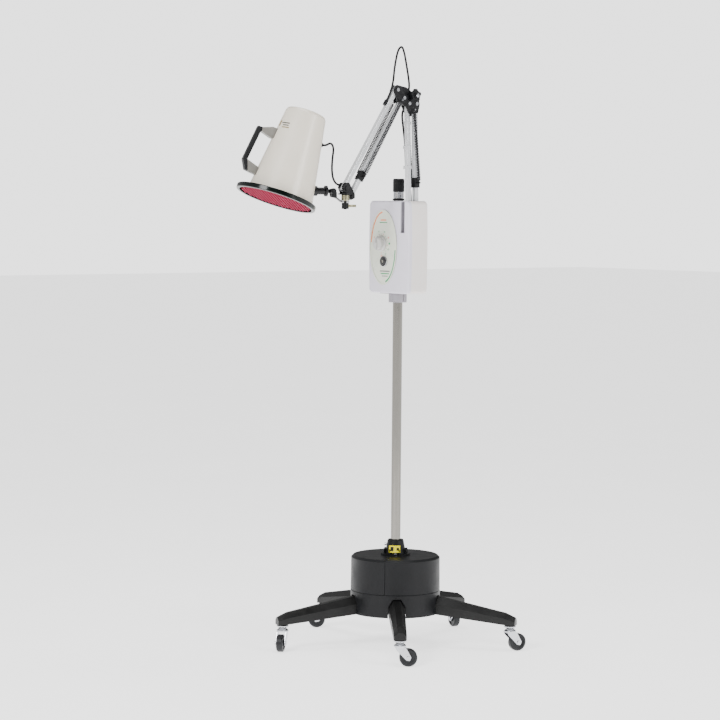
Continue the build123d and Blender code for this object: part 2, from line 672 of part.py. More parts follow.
def head_shell():
    """Spun tapered shell with a closed, rounded top, and the holes of its fittings."""
    top = SHELL_HEIGHT
    wall = SHELL_WALL
    profile = ((SHELL_BASE_R, RIM_HIGH), (SHELL_TOP_R + 1.2, top - 8), (SHELL_TOP_R - 3, top - 1.5),
               (SHELL_TOP_R - 7, top), (0, top), (0, top - wall), (SHELL_TOP_R - 8, top - wall),
               (SHELL_TOP_R - 1, top - 8), (SHELL_BASE_R - wall, RIM_HIGH))
    shell = HEAD * (Pos(SHELL_OFFSET, 0, 0) * turned(profile))
    low = reach_point(TILT_REACH + 30, TILT_Z)
    high = reach_point(TILT_REACH + 75, TILT_Z)
    shell -= rod(6.2, low, high)
    shell -= rod(4.5, shell_wall_point(CABLE_ENTRY_HEIGHT, 12), shell_wall_point(CABLE_ENTRY_HEIGHT, -12))
    return shell


CABLE_ENTRY_HEIGHT = 182.0


def shell_taper():
    """How much the shell's radius shrinks per millimetre of height."""
    return (SHELL_BASE_R - SHELL_TOP_R) / (SHELL_HEIGHT - RIM_HIGH)


def shell_wall_point(height, outward):
    """A point beside the shell's wall on the joint's side."""
    radius = SHELL_BASE_R - shell_taper() * (height - RIM_HIGH)
    local = Vector(SHELL_OFFSET + radius + outward, 0, height)
    return tuple(HEAD.from_local_coords(local))


def rim_ring():
    """Heavy gloss rim round the light field."""
    lip = RIM_R - 9.0
    outline = ((lip, RIM_LOW), (RIM_R - 1.5, RIM_LOW), (RIM_R, RIM_LOW + 1.5), (RIM_R, RIM_HIGH - 1.5),
               (RIM_R - 1.5, RIM_HIGH), (SHELL_BASE_R - 22, RIM_HIGH), (SHELL_BASE_R - 22, RIM_HIGH - 2.5),
               (lip, RIM_HIGH - 2.5))
    return HEAD * turned(outline)


def led_board():
    """Printed board of the lamps, backed by a heat-sink disc."""
    board = HEAD * upright(RIM_R - 9.0, -2.0, 0.0)
    sink = HEAD * upright(RIM_R - 26.0, 0.0, 3.5)
    return [board, sink]


def head_boss():
    """Knuckle between the ears, its washer, and the boss bolted to the shell."""
    ux, uy = head_dir()
    tongue_plane = Plane(origin=reach_point(TILT_REACH, TILT_Z, -4.9), x_dir=(ux, uy, 0), z_dir=(-uy, ux, 0))
    block = extrude(tongue_plane * (Circle(7.0) + Pos(7, 0) * Rectangle(14, 11)), 9.8)
    block -= rod(PIN_R + PIN_FIT, reach_point(TILT_REACH, TILT_Z, -12), reach_point(TILT_REACH, TILT_Z, 12))
    washer = rod(15.0, reach_point(TILT_REACH + 14, TILT_Z), reach_point(TILT_REACH + 20, TILT_Z))
    neck = rod(10.0, reach_point(TILT_REACH + 20, TILT_Z), reach_point(TILT_REACH + 75, TILT_Z))
    flange = rod(14.0, reach_point(TILT_REACH + 44, TILT_Z), reach_point(TILT_REACH + 75, TILT_Z))
    solid_head = HEAD * (Pos(SHELL_OFFSET, 0, 0) * turned(((0, RIM_HIGH), (SHELL_BASE_R, RIM_HIGH),
                                                            (SHELL_TOP_R + 1.2, SHELL_HEIGHT - 8), (0, SHELL_HEIGHT))))
    outside = (neck + flange) - solid_head
    stem = rod(6.0, reach_point(TILT_REACH + 26, TILT_Z), reach_point(TILT_REACH + 69, TILT_Z))
    nut = rod(9.0, reach_point(TILT_REACH + 61, TILT_Z), reach_point(TILT_REACH + 67, TILT_Z))
    return [block + washer + outside.solids().sort_by(SortBy.VOLUME)[-1] + stem, nut - stem]


HANDLE_LOW = 72.0
HANDLE_HIGH = 168.0
HANDLE_STAND = 46.0
GRIP_DEEP = 12.0
GRIP_WIDE = 18.0


def handle():
    """Pull handle opposite the joint: two flared grey feet, and a black grip along the shell's wall."""
    def wall(z):
        return SHELL_OFFSET - SHELL_BASE_R + shell_taper() * (z - RIM_HIGH)

    def side_shape(outline, width):
        face = make_face(Polyline([(x, -width / 2, z) for x, z in outline], close=True))
        return HEAD * extrude(face, width, dir=(0, 1, 0))

    inner = GRIP_DEEP / 2 - HANDLE_STAND + 0.3
    outer = -GRIP_DEEP / 2 - HANDLE_STAND
    low = HANDLE_LOW
    high = HANDLE_HIGH
    upper_foot = ((wall(high) + inner, high - 10), (wall(high) + inner, high + 2), (wall(high) - 12, high + 13),
                  (wall(high) + 6, high + 12), (wall(high) + 6, high - 16), (wall(high) - 9, high - 18))
    lower_foot = ((wall(low) + inner, low), (wall(low) + 6, low - 13), (wall(low) + 6, low - 33),
                  (wall(low) - 24, low - 31), (wall(low) - 29.7, low - 30))
    grip_outline = ((wall(high) + inner - 0.3, high + 2), (wall(high) + outer, high + 2), (wall(low) + outer, low - 3),
                    (wall(low) - 38, low - 29), (wall(low) - 30, low - 30), (wall(low) + inner - 0.3, low))
    solid = HEAD * (Pos(SHELL_OFFSET, 0, 0) * turned(((0, 0), (SHELL_BASE_R + 0.1 + shell_taper() * RIM_HIGH, 0),
                                                       (SHELL_TOP_R + 0.1, SHELL_HEIGHT), (0, SHELL_HEIGHT))))
    feet = [side_shape(outline, GRIP_WIDE) - solid for outline in (upper_foot, lower_foot)]
    return feet, side_shape(grip_outline, GRIP_WIDE)


# ---------------------------------------------------------------- cords
def on_front_tube(distance, x, across):
    """A point beside the front lower tube."""
    y, z = along(A0, LOWER_LEAN, distance)
    lean = radians(LOWER_LEAN)
    return (x, y + across * cos(lean), z + across * sin(lean))


ARM_CABLE_ROUTE = (
    on_front_tube(28, 61.0, 10.8), on_front_tube(85, 61.0, 11.0), on_front_tube(131, 59.0, 11.6),
    on_front_tube(156, 51.4, 11.4), on_front_tube(182, 49.8, 4.0), on_front_tube(222, 51.0, 0.3),
    on_front_tube(272, 51.2, -1.0), on_front_tube(312, 49.8, -5.4), on_front_tube(342, 48.2, -8.2),
    on_front_tube(356, 47.6, -7.8), on_front_tube(366, CABLE_X_OUT, -4.0), on_front_tube(373.0, CABLE_X_OUT, -0.6),
    on_front_tube(385, CABLE_X_OUT, 0.0),
)
LOOP_ROUTE = (
    (CABLE_X_OUT, A1[0], A1[1]), on_front_tube(397, CABLE_X_OUT, 0.6), (47.2, -14.5, 1578), (47.2, -6.0, 1590),
    (47.4, -3.5, 1608), (48.0, -9.0, 1636), (49.5, -17.5, 1668), (51.5, -26.5, 1698),
    (53.0, -37.0, 1717), (54.5, -52.0, 1706), (56.5, -62.0, 1676), (58.5, -69.5, 1645),
    (60.0, -73.0, 1618), above_top_tube(GROMMET_START - 26, GROMMET_LIFT),
    above_top_tube(GROMMET_START, GROMMET_LIFT),
)
HEAD_CABLE_ROUTE = (
    GUIDE_MOUTH, GUIDE_AHEAD, reach_point(30, 1336.0, -17.0), reach_point(37, 1362.0, -10.0),
    reach_point(37, 1396.0, -5.0), reach_point(34, 1424.0, -1.5), reach_point(43, 1440.0, 0.0),
    shell_wall_point(CABLE_ENTRY_HEIGHT, 12.0), shell_wall_point(CABLE_ENTRY_HEIGHT, -3.0),
)


def build_base():
    save("hub_casting", hub_casting())
    save("skirt_ring", skirt_ring())
    left, right = drum_covers()
    save("drum_cover_left", left)
    save("drum_cover_right", right)
    save("column_socket", column_socket())
    save("base_screws", *base_screws())
    stems = []
    for index in range(LEG_COUNT):
        x, y = caster_place(index)
        save(f"leg_{index + 1}", leg(leg_angle(index)))
        stems.append(caster_stem(x, y))
        place = Pos(x, y, 0) * Rot(Z=CASTER_TRAILS[index])
        save(f"caster_fork_{index + 1}", *[place * piece for piece in caster_fork()])
        save(f"caster_wheel_{index + 1}", place * caster_wheel())
    save("caster_stems", *stems)
    save("mast_tube", mast())
    save("mast_cap", mast_cap())
    save("mast_collar", mast_collar())


def build_box():
    front, rear = box_shells()
    save("box_front_shell", front)
    save("box_rear_shell", rear)
    save("control_panel", control_panel())
    save("timer_knob", timer_knob())
    switch_body, button = power_switch()
    save("switch_body", switch_body)
    save("switch_button", button)
    save("power_supply", *power_supply())
    save("mains_inlet", *mains_inlet())
    save("arm_bracket", *arm_bracket())


def build_arm():
    save("lower_front_tube", arm_bar(A0, A1))
    save("lower_rear_tube", arm_bar(B0, B1))
    save("lower_spring_anchor", spring_anchor(B0, LOWER_LEAN, LOWER_ANCHOR_DISTANCE))
    save("lower_springs", *coil_spring(LOWER_ANCHOR, LOWER_HOOK))
    save("elbow_plates", *elbow_plates())
    save("elbow_pins", *elbow_pins())
    save("elbow_knob", elbow_knob())
    save("upper_top_tube", arm_bar(C1, C0))
    save("upper_bottom_tube", arm_bar(D1, D0))
    save("upper_spring_anchor", spring_anchor(D0, -UPPER_FOLD, UPPER_ANCHOR_DISTANCE))
    save("upper_springs", *coil_spring(UPPER_ANCHOR, UPPER_HOOK))
    save("cable_grommet", cable_grommet())
    save("wrist_plates", *wrist_plates())
    save("wrist_pins", *wrist_pins())
    save("swivel_knob", swivel_knob())
    save("link_bracket", *link_bracket())
    save("tilt_knob", tilt_knob())


def build_head():
    save("head_boss", *head_boss())
    save("head_shell", head_shell())
    save("rim_ring", rim_ring())
    save("led_board", *led_board())
    arms, grip = handle()
    save("handle_arms", *arms)
    save("handle_grip", grip)


def build_cords():
    save("arm_cable", cord(ARM_CABLE_ROUTE, CABLE_R))
    save("loop_cable", cord(LOOP_ROUTE, CABLE_R))
    save("head_cable", cord(HEAD_CABLE_ROUTE, CABLE_R))


build_base()
build_box()
build_arm()
build_head()
build_cords()
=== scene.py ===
"""Looks of the mobile treatment lamp: materials, coils, lamps, markings, cords, light and camera."""
import json
from math import cos, pi, radians, sin, sqrt

import bmesh
import bpy
from mathutils import Matrix, Vector


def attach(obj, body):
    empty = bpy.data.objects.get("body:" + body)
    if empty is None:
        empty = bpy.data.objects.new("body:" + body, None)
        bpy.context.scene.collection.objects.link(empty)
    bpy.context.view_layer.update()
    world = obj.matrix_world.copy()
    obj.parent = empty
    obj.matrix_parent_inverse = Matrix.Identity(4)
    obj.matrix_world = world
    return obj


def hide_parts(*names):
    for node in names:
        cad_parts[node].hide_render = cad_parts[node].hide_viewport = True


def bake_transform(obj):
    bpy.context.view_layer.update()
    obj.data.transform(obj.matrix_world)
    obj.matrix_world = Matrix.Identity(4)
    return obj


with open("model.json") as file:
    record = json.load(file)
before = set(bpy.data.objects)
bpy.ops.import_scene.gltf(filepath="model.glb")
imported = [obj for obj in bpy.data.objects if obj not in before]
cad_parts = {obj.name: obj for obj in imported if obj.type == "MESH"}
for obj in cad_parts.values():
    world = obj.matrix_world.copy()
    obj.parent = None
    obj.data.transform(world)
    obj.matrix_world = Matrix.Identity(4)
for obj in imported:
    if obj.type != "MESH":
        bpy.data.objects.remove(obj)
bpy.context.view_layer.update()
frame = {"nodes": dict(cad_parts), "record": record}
nodes = frame["nodes"]
MM = 0.001

# ---------------------------------------------------------------- places shared with the frame (mm)
ARM_X = 61.0
TUBE = 13.0
LOWER_LEAN = 1.5
UPPER_FOLD = 33.7
A0 = (-12.5, 1170.0)
B0 = (14.5, 1170.0)
C0 = (-65.8, 1592.0)
D0 = (-42.0, 1570.0)
LOWER_HOOK = (-10.0, 1538.0)
UPPER_HOOK = (-56.0, 1563.0)
LOWER_LENGTH = 385.0
UPPER_LENGTH = 335.0
SPRING_OFFSET = 16.5
SPRING_COIL_R = 4.4
SPRING_WIRE_R = 1.5
SPRING_PITCH = 4.6
SPRING_LEAD = 9.0
LOWER_ANCHOR_DISTANCE = 162.0
UPPER_ANCHOR_DISTANCE = -267.0
CABLE_D = 6.0
CABLE_X_OUT = 47.2
STUD = (68.0, -250.0)
HEAD_YAW = 20.0
HEAD_REACH = 201.0
HEAD_FACE_Z = 1286.0
HEAD_LEAN = 19.0
HEAD_SIDE_LEAN = 3.5
SHELL_BASE_R = 92.0
SHELL_TOP_R = 56.0
SHELL_OFFSET = 10.0
SHELL_HEIGHT = 252.0
RIM_HIGH = 7.0
BOARD_R = 104.0
CABLE_ENTRY_HEIGHT = 182.0
PANEL_CENTRE = (-22.0, 1147.0)
PANEL_SIZE = (120.0, 214.0)
PANEL_FACE_Y = -37.2
KNOB_PLACE = (-31.0, 1158.0)
SWITCH_PLACE = (-19.0, 1107.0)
PRINT_T = 0.25
MAST_BORE_R = 14.05
BOX_BACK_Y = 36.0
SCREW_PLACES = ((-76, 1032), (76, 1032), (-76, 1264), (-76, 1148))


def along(start, angle, distance):
    """A point (y, z) up a bar that leans by angle from vertical towards -Y."""
    return (start[0] - distance * sin(radians(angle)), start[1] + distance * cos(radians(angle)))


A1 = along(A0, LOWER_LEAN, LOWER_LENGTH)
C1 = along(C0, -UPPER_FOLD, -UPPER_LENGTH)
LOWER_ANCHOR = along(B0, LOWER_LEAN, LOWER_ANCHOR_DISTANCE)
UPPER_ANCHOR = along(D0, -UPPER_FOLD, UPPER_ANCHOR_DISTANCE)
HEAD_DIR = (-sin(radians(HEAD_YAW)), -cos(radians(HEAD_YAW)))


def reach_point(distance, z, side=0.0):
    """A point at a distance from the swivel stud towards the head, and to its side."""
    ux, uy = HEAD_DIR
    return (STUD[0] + ux * distance - uy * side, STUD[1] + uy * distance + ux * side, z)


def head_matrix():
    """Lamp-face frame in mm: Z up through the shell, X towards the tilt joint."""
    ux, uy = HEAD_DIR
    lean = sin(radians(HEAD_LEAN))
    side = sin(radians(HEAD_SIDE_LEAN))
    up = Vector((-lean * ux + side * uy, -lean * uy - side * ux, sqrt(1 - lean**2 - side**2)))
    towards = Vector((-ux, -uy, 0))
    towards = (towards - up * towards.dot(up)).normalized()
    across = up.cross(towards)
    rotation = Matrix((towards, across, up)).transposed().to_4x4()
    return Matrix.Translation(reach_point(HEAD_REACH, HEAD_FACE_Z)) @ rotation


HEAD = head_matrix()


# ---------------------------------------------------------------- mesh helpers (mm in, metres out)
def new_piece(name, vertices, faces, material, body, smooth=False):
    """A mesh object from points in mm, riding on a body when one is named."""
    mesh = bpy.data.meshes.new(name)
    mesh.from_pydata([Vector(v) * MM for v in vertices], [], faces)
    mesh.validate()
    mesh.update()
    for polygon in mesh.polygons:
        polygon.use_smooth = smooth
    mesh.materials.append(material)
    piece = bpy.data.objects.new(name, mesh)
    bpy.context.scene.collection.objects.link(piece)
    recalc_normals(piece)
    if body:
        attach(piece, body)
    return piece


def recalc_normals(piece):
    """Turns every face of the piece outwards."""
    work = bmesh.new()
    work.from_mesh(piece.data)
    bmesh.ops.recalc_face_normals(work, faces=work.faces)
    work.to_mesh(piece.data)
    work.free()


def tube_data(points, radius, sides):
    """Vertices and faces of a round tube with closed ends along points in mm."""
    stops = [Vector(p) for p in points]
    vertices = []
    faces = []
    tangent = (stops[1] - stops[0]).normalized()
    normal = tangent.orthogonal().normalized()
    for index, stop in enumerate(stops):
        ahead = stops[min(index + 1, len(stops) - 1)]
        behind = stops[max(index - 1, 0)]
        new_tangent = (ahead - behind).normalized()
        normal = (tangent.rotation_difference(new_tangent) @ normal).normalized()
        tangent = new_tangent
        binormal = tangent.cross(normal)
        for side in range(sides):
            turn = 2 * pi * side / sides
            vertices.append(stop + normal * radius * cos(turn) + binormal * radius * sin(turn))
    for ring in range(len(stops) - 1):
        for side in range(sides):
            a = ring * sides + side
            b = ring * sides + (side + 1) % sides
            faces.append((a, b, b + sides, a + sides))
    faces.append(tuple(range(sides)))
    last = (len(stops) - 1) * sides
    faces.append(tuple(range(last, last + sides)))
    return vertices, faces


def lathe(name, profile, place, material, body, sides=48):
    """A closed solid turned about the local Z of place, from (radius, z) points in mm."""
    vertices = []
    faces = []
    count = len(profile)
    for side in range(sides):
        turn = 2 * pi * side / sides
        for radius, z in profile:
            vertices.append(place @ Vector((radius * cos(turn), radius * sin(turn), z)))
    for side in range(sides):
        nxt = (side + 1) % sides
        for k in range(count):
            after = (k + 1) % count
            faces.append((side * count + k, nxt * count + k, nxt * count + after, side * count + after))
    piece = new_piece(name, vertices, faces, material, body)
    weld_and_soften(piece)
    return piece


def weld_and_soften(piece, angle=35.0, width=0.3):
    """Merges doubled points and rounds sharp edges with modifiers."""
    weld = piece.modifiers.new("weld", "WELD")
    weld.merge_threshold = 0.00001
    bevel = piece.modifiers.new("soft_edges", "BEVEL")
    bevel.width = width * MM
    bevel.segments = 2
    bevel.limit_method = "ANGLE"
    bevel.angle_limit = radians(angle)
    bevel.harden_normals = False


def prism(name, outline, depth, place, material, body):
    """A flat plate: a (u, v) outline in the local XY plane of place, thickened along its Z."""
    count = len(outline)
    vertices = [place @ Vector((u, v, 0)) for u, v in outline]
    vertices += [place @ Vector((u, v, depth)) for u, v in outline]
    faces = [tuple(range(count)), tuple(range(count, 2 * count))]
    for k in range(count):
        after = (k + 1) % count
        faces.append((k, after, after + count, k + count))
    return new_piece(name, vertices, faces, material, body)


def rounded_outline(width, height, radius, steps=5):
    """Outline of a rounded rectangle about its middle."""
    points = []
    for quarter, (sx, sy) in enumerate(((1, 1), (-1, 1), (-1, -1), (1, -1))):
        for k in range(steps + 1):
            turn = radians(90 * quarter + 90 * k / steps)
            points.append((sx * (width / 2 - radius) + radius * cos(turn),
                           sy * (height / 2 - radius) + radius * sin(turn)))
    return points


def panel_place(x, z, lift=0.0):
    """A place on the control panel: local X right, Y up, Z out of the panel."""
    rotation = Matrix(((1, 0, 0), (0, 0, -1), (0, 1, 0))).to_4x4()
    return Matrix.Translation((x, PANEL_FACE_Y - lift, z)) @ rotation


# ---------------------------------------------------------------- materials
SLOW_SHARE = 0.65
FINE_SHARE = 0.35
RELIEF_DEPTH = 0.0004


def finish(name, colour, roughness, metallic=0.0, grain=900.0, mottle=60.0, spread=0.08,
           rough_spread=0.12, bump=0.06, coat=0.0, stretch=(1, 1, 1), emission=0.0, specular=0.5):
    """A painted, moulded or metal surface: fine grain, slow mottling, and bump from the same grain."""
    material = bpy.data.materials.new(name)
    material.use_nodes = True
    tree = material.node_tree
    shader = tree.nodes["Principled BSDF"]
    shader.inputs["Metallic"].default_value = metallic
    shader.inputs["Coat Weight"].default_value = coat
    shader.inputs["Specular IOR Level"].default_value = specular
    shader.inputs["Coat Roughness"].default_value = 0.08
    coordinates = tree.nodes.new("ShaderNodeTexCoord")
    mapping = tree.nodes.new("ShaderNodeMapping")
    mapping.inputs["Scale"].default_value = stretch
    tree.links.new(coordinates.outputs["Object"], mapping.inputs["Vector"])
    fine = noise(tree, mapping, grain, 5.0)
    slow = noise(tree, mapping, mottle, 3.0)
    blend = tree.nodes.new("ShaderNodeMath")
    blend.operation = "MULTIPLY_ADD"
    tree.links.new(slow.outputs["Fac"], blend.inputs[0])
    blend.inputs[1].default_value = SLOW_SHARE
    fine_part = tree.nodes.new("ShaderNodeMath")
    fine_part.operation = "MULTIPLY"
    fine_part.inputs[1].default_value = FINE_SHARE
    tree.links.new(fine.outputs["Fac"], fine_part.inputs[0])
    tree.links.new(fine_part.outputs[0], blend.inputs[2])
    ramp = tree.nodes.new("ShaderNodeValToRGB")
    ramp.color_ramp.elements[0].position = 0.35
    ramp.color_ramp.elements[1].position = 0.65
    ramp.color_ramp.elements[0].color = tuple(max(c * (1 - spread), 0) for c in colour) + (1,)
    ramp.color_ramp.elements[1].color = tuple(min(c * (1 + spread), 1) for c in colour) + (1,)
    tree.links.new(blend.outputs[0], ramp.inputs["Fac"])
    tree.links.new(ramp.outputs["Color"], shader.inputs["Base Color"])
    rough = tree.nodes.new("ShaderNodeMapRange")
    rough.inputs["From Min"].default_value = 0.3
    rough.inputs["From Max"].default_value = 0.7
    rough.inputs["To Min"].default_value = max(roughness - rough_spread / 2, 0.02)
    rough.inputs["To Max"].default_value = min(roughness + rough_spread / 2, 1.0)
    tree.links.new(slow.outputs["Fac"], rough.inputs["Value"])
    tree.links.new(rough.outputs["Result"], shader.inputs["Roughness"])
    relief = tree.nodes.new("ShaderNodeBump")
    relief.inputs["Strength"].default_value = bump
    relief.inputs["Distance"].default_value = RELIEF_DEPTH
    tree.links.new(fine.outputs["Fac"], relief.inputs["Height"])
    tree.links.new(relief.outputs["Normal"], shader.inputs["Normal"])
    if emission:
        tree.links.new(ramp.outputs["Color"], shader.inputs["Emission Color"])
        shader.inputs["Emission Strength"].default_value = emission
    return material


def noise(tree, mapping, scale, detail):
    """A noise texture over the mapped object coordinates."""
    texture = tree.nodes.new("ShaderNodeTexNoise")
    texture.inputs["Scale"].default_value = scale
    texture.inputs["Detail"].default_value = detail
    tree.links.new(mapping.outputs["Vector"], texture.inputs["Vector"])
    return texture


def make_materials():
    """Every finish by name: paints and plastics first, then metals, lamps and inks."""
    return {
        "cast_iron": finish("cast_iron", (0.05, 0.05, 0.05), 0.7, 0.6, 500, 40, 0.2, 0.2, 0.4),
        "black_plastic": finish("black_plastic", (0.0062, 0.0065, 0.0075), 0.42, 0, 1600, 30, 0.25, 0.12,
                                0.25, specular=0.22),
        "leg_plastic": finish("leg_plastic", (0.0082, 0.0083, 0.0082), 0.4, 0, 1300, 25, 0.25, 0.14, 0.3,
                              specular=0.25),
        "gloss_black_tube": finish("gloss_black_tube", (0.22, 0.21, 0.19), 0.10, 1.0, 800, 12, 0.15, 0.06,
                                   0.03, stretch=(1, 1, 0.05)),
        "zinc_steel": finish("zinc_steel", (0.56, 0.57, 0.60), 0.2, 1.0, 1500, 80, 0.12, 0.16, 0.05),
        "wheel_rubber": finish("wheel_rubber", (0.012, 0.013, 0.015), 0.4, 0, 900, 90, 0.3, 0.2, 0.2,
                               specular=0.3),
        "box_lavender": finish("box_lavender", (0.72, 0.69, 0.78), 0.42, 0, 1400, 20, 0.02, 0.1, 0.12),
        "box_ivory": finish("box_ivory", (0.82, 0.77, 0.74), 0.42, 0, 1400, 20, 0.02, 0.1, 0.12),
        "panel_cream": finish("panel_cream", (0.74, 0.77, 0.66), 0.3, 0, 700, 30, 0.03, 0.08, 0.05),
        "knob_grey": finish("knob_grey", (0.62, 0.61, 0.59), 0.32, 0, 1200, 70, 0.05, 0.1, 0.1),
        "switch_dark": finish("switch_dark", (0.03, 0.03, 0.03), 0.3, 0, 900, 90, 0.2, 0.1, 0.06,
                              specular=0.4),
        "steel_bracket": finish("steel_bracket", (0.4, 0.4, 0.4), 0.35, 1.0, 300, 60, 0.1, 0.2, 0.1,
                                stretch=(1, 1, 12)),
        "electrics": finish("electrics", (0.05, 0.2, 0.08), 0.5, 0, 700, 90, 0.3, 0.2, 0.2),
        "white_tube": finish("white_tube", (0.72, 0.73, 0.75), 0.2, 0.35, 1200, 15, 0.03, 0.08, 0.04, 0.5),
        "black_steel": finish("black_steel", (0.007, 0.007, 0.0085), 0.3, 0.2, 1100, 70, 0.3, 0.16, 0.15,
                              specular=0.35),
        "spring_steel": finish("spring_steel", (0.030, 0.030, 0.033), 0.3, 0.6, 1400, 120, 0.3, 0.2, 0.08),
        "olive_zinc": finish("olive_zinc", (0.30, 0.28, 0.18), 0.34, 0.8, 1200, 150, 0.35, 0.2, 0.12),
        "cream_shell": finish("cream_shell", (0.80, 0.74, 0.63), 0.34, 0, 1500, 12, 0.03, 0.08, 0.1, 0.25),
        "gloss_black": finish("gloss_black", (0.003, 0.005, 0.0045), 0.16, 0, 900, 40, 0.3, 0.08, 0.03,
                              specular=0.25),
        "led_red": finish("led_red", (0.020, 0.0005, 0.002), 0.45, 0, 900, 260, 0.6, 0.2, 0.2, emission=0.1,
                          specular=0.0),
        "handle_grey": finish("handle_grey", (0.22, 0.21, 0.19), 0.35, 0.3, 1200, 50, 0.1, 0.16, 0.1),
        "cable_black": finish("cable_black", (0.005, 0.005, 0.0055), 0.42, 0, 1300, 60, 0.25, 0.14, 0.2,
                              specular=0.25),
        # A darkened copy of box_lavender: painted shade, for the collar under the box and the cheeks in the
        # arm slot
        "lavender_painted_shade": finish("lavender_painted_shade", (0.27, 0.255, 0.285), 0.4, 0, 1300, 50, 0.06, 0.1, 0.15),
        "led_dome": finish("led_dome", (0.17, 0.0005, 0.014), 0.3, 0, 1500, 700, 0.4, 0.1, 0.05, emission=0.2,
                           specular=0.02),
        "led_core": finish("led_core", (0.62, 0.12, 0.22), 0.2, 0, 1500, 700, 0.1, 0.1, 0.05, emission=1.1,
                           specular=0.05),
        # The yellow label glows a little: a painted glow that brightens it beyond the lights
        "label_yellow_painted_glow": finish("label_yellow_painted_glow", (0.92, 0.80, 0.0), 0.4, 0, 900, 200, 0.05, 0.1, 0.05,
                               emission=0.12, specular=0.2),
        "label_cream": finish("label_cream", (0.80, 0.76, 0.60), 0.45, 0, 900, 200, 0.04, 0.1, 0.05),
        "ink_dark": finish("ink_dark", (0.012, 0.012, 0.012), 0.5, 0, 900, 300, 0.2, 0.1, 0.04, specular=0.2),
        "ink_gold": finish("ink_gold", (0.24, 0.16, 0.04), 0.5, 0, 900, 300, 0.3, 0.1, 0.04),
        "ink_red": finish("ink_red", (0.75, 0.06, 0.02), 0.45, 0, 900, 90, 0.1, 0.1, 0.04),
        "ink_orange": finish("ink_orange", (0.88, 0.22, 0.07), 0.45, 0, 900, 90, 0.1, 0.1, 0.04),
        "ink_green": finish("ink_green", (0.02, 0.30, 0.10), 0.45, 0, 900, 90, 0.1, 0.1, 0.04),
        "ink_grey": finish("ink_grey", (0.12, 0.12, 0.12), 0.5, 0, 900, 90, 0.1, 0.1, 0.04),
    }


MATERIAL = make_materials()


def dress_cad_nodes():
    """Every CAD node takes the detailed material of its slot, and the collar a darkened lavender, painted
    shade under the box.
    """
    for row in frame["record"]["subparts"]:
        node = nodes[row["node"]]
        node.data.materials.clear()
        node.data.materials.append(MATERIAL[row["material_slot"]])
    # The collar under the box gets the darkened lavender: painted shade
    nodes["mast_collar"].data.materials[0] = MATERIAL["lavender_painted_shade"]


# ---------------------------------------------------------------- camera
CAMERA_PLACE = (5.339, -4.480, 1.276)
CAMERA_HEADING = 50.8775
CAMERA_DROP = 3.7202
CAMERA_ROLL = 0.45
CAMERA_LENS = 121.5


def add_camera():
    """Long lens at the height of the box top, looking slightly down."""
    data = bpy.data.cameras.new("camera")
    data.lens = CAMERA_LENS
    data.sensor_width = 36.0
    data.clip_end = 60.0
    camera = bpy.data.objects.new("camera", data)
    heading = Matrix.Rotation(radians(CAMERA_HEADING), 4, "Z")
    drop = Matrix.Rotation(radians(90 - CAMERA_DROP), 4, "X")
    roll = Matrix.Rotation(radians(CAMERA_ROLL), 4, "Z")
    camera.matrix_world = Matrix.Translation(CAMERA_PLACE) @ heading @ drop @ roll
    bpy.context.scene.collection.objects.link(camera)
    bpy.context.scene.camera = camera


add_camera()


# ---------------------------------------------------------------- cords
def above_top_tube(distance, lift):
    """A point over the upper tube's top face, at a distance down from its upper pivot."""
    y, z = along(C0, -UPPER_FOLD, -distance)
    return (ARM_X, y - lift * cos(radians(UPPER_FOLD)), z + lift * sin(radians(UPPER_FOLD)))


def on_front_tube(distance, x, across):
    """A point beside the front lower tube."""
    y, z = along(A0, LOWER_LEAN, distance)
    lean = radians(LOWER_LEAN)
    return (x, y + across * cos(lean), z + across * sin(lean))


SHELL_TAPER = (SHELL_BASE_R - SHELL_TOP_R) / (SHELL_HEIGHT - RIM_HIGH)


def shell_wall_point(height, outward):
    """A point beside the shell's wall on the joint's side."""
    radius = SHELL_BASE_R - SHELL_TAPER * (height - RIM_HIGH)
    return tuple(HEAD @ Vector((SHELL_OFFSET + radius + outward, 0, height)))


GUIDE_MOUTH = (47.5, -249.0, 1323.5)
GUIDE_AHEAD = (47.5, -261.0, 1321.5)
HEAD_CABLE_LOW_BEND = reach_point(37, 1362.0, -10.0)
HEAD_CABLE_HIGH_BEND = reach_point(37, 1396.0, -5.0)
HEAD_CABLE_JOIN = tuple((Vector(HEAD_CABLE_LOW_BEND) + Vector(HEAD_CABLE_HIGH_BEND)) / 2)
ARM_CABLE_ROUTE = (
    on_front_tube(28, 61.0, 10.8), on_front_tube(85, 61.0, 11.0), on_front_tube(131, 59.0, 11.6),
    on_front_tube(156, 51.4, 11.4), on_front_tube(182, 49.8, 4.0), on_front_tube(222, 51.0, 0.3),
    on_front_tube(272, 51.2, -1.0), on_front_tube(312, 49.8, -5.4), on_front_tube(342, 48.2, -8.2),
    on_front_tube(356, 47.6, -7.8), on_front_tube(366, CABLE_X_OUT, -4.0),
    on_front_tube(373, CABLE_X_OUT, -0.6), on_front_tube(LOWER_LENGTH, CABLE_X_OUT, 0.0),
)
LOOP_ROUTE = (
    (CABLE_X_OUT, A1[0], A1[1]), on_front_tube(397, CABLE_X_OUT, 0.6), (CABLE_X_OUT, -14.5, 1578),
    (CABLE_X_OUT, -6.0, 1590), (47.4, -3.5, 1608), (48.0, -9.0, 1636), (49.5, -17.5, 1668),
    (51.5, -26.5, 1698),
    (53.0, -37.0, 1717), (54.5, -52.0, 1706), (56.5, -62.0, 1676), (58.5, -69.5, 1645),
    (60.0, -73.0, 1618), above_top_tube(18.0, 10.0), above_top_tube(44.0, 10.0),
)
HEAD_CABLE_LOWER = (GUIDE_MOUTH, GUIDE_AHEAD, reach_point(30, 1336.0, -17.0), HEAD_CABLE_LOW_BEND,
                    HEAD_CABLE_JOIN)
HEAD_CABLE_UPPER = (
    HEAD_CABLE_JOIN, HEAD_CABLE_HIGH_BEND, reach_point(34, 1424.0, -1.5), reach_point(43, 1440.0, 0.0),
    shell_wall_point(CABLE_ENTRY_HEIGHT, 12.0), shell_wall_point(CABLE_ENTRY_HEIGHT, -3.0),
)


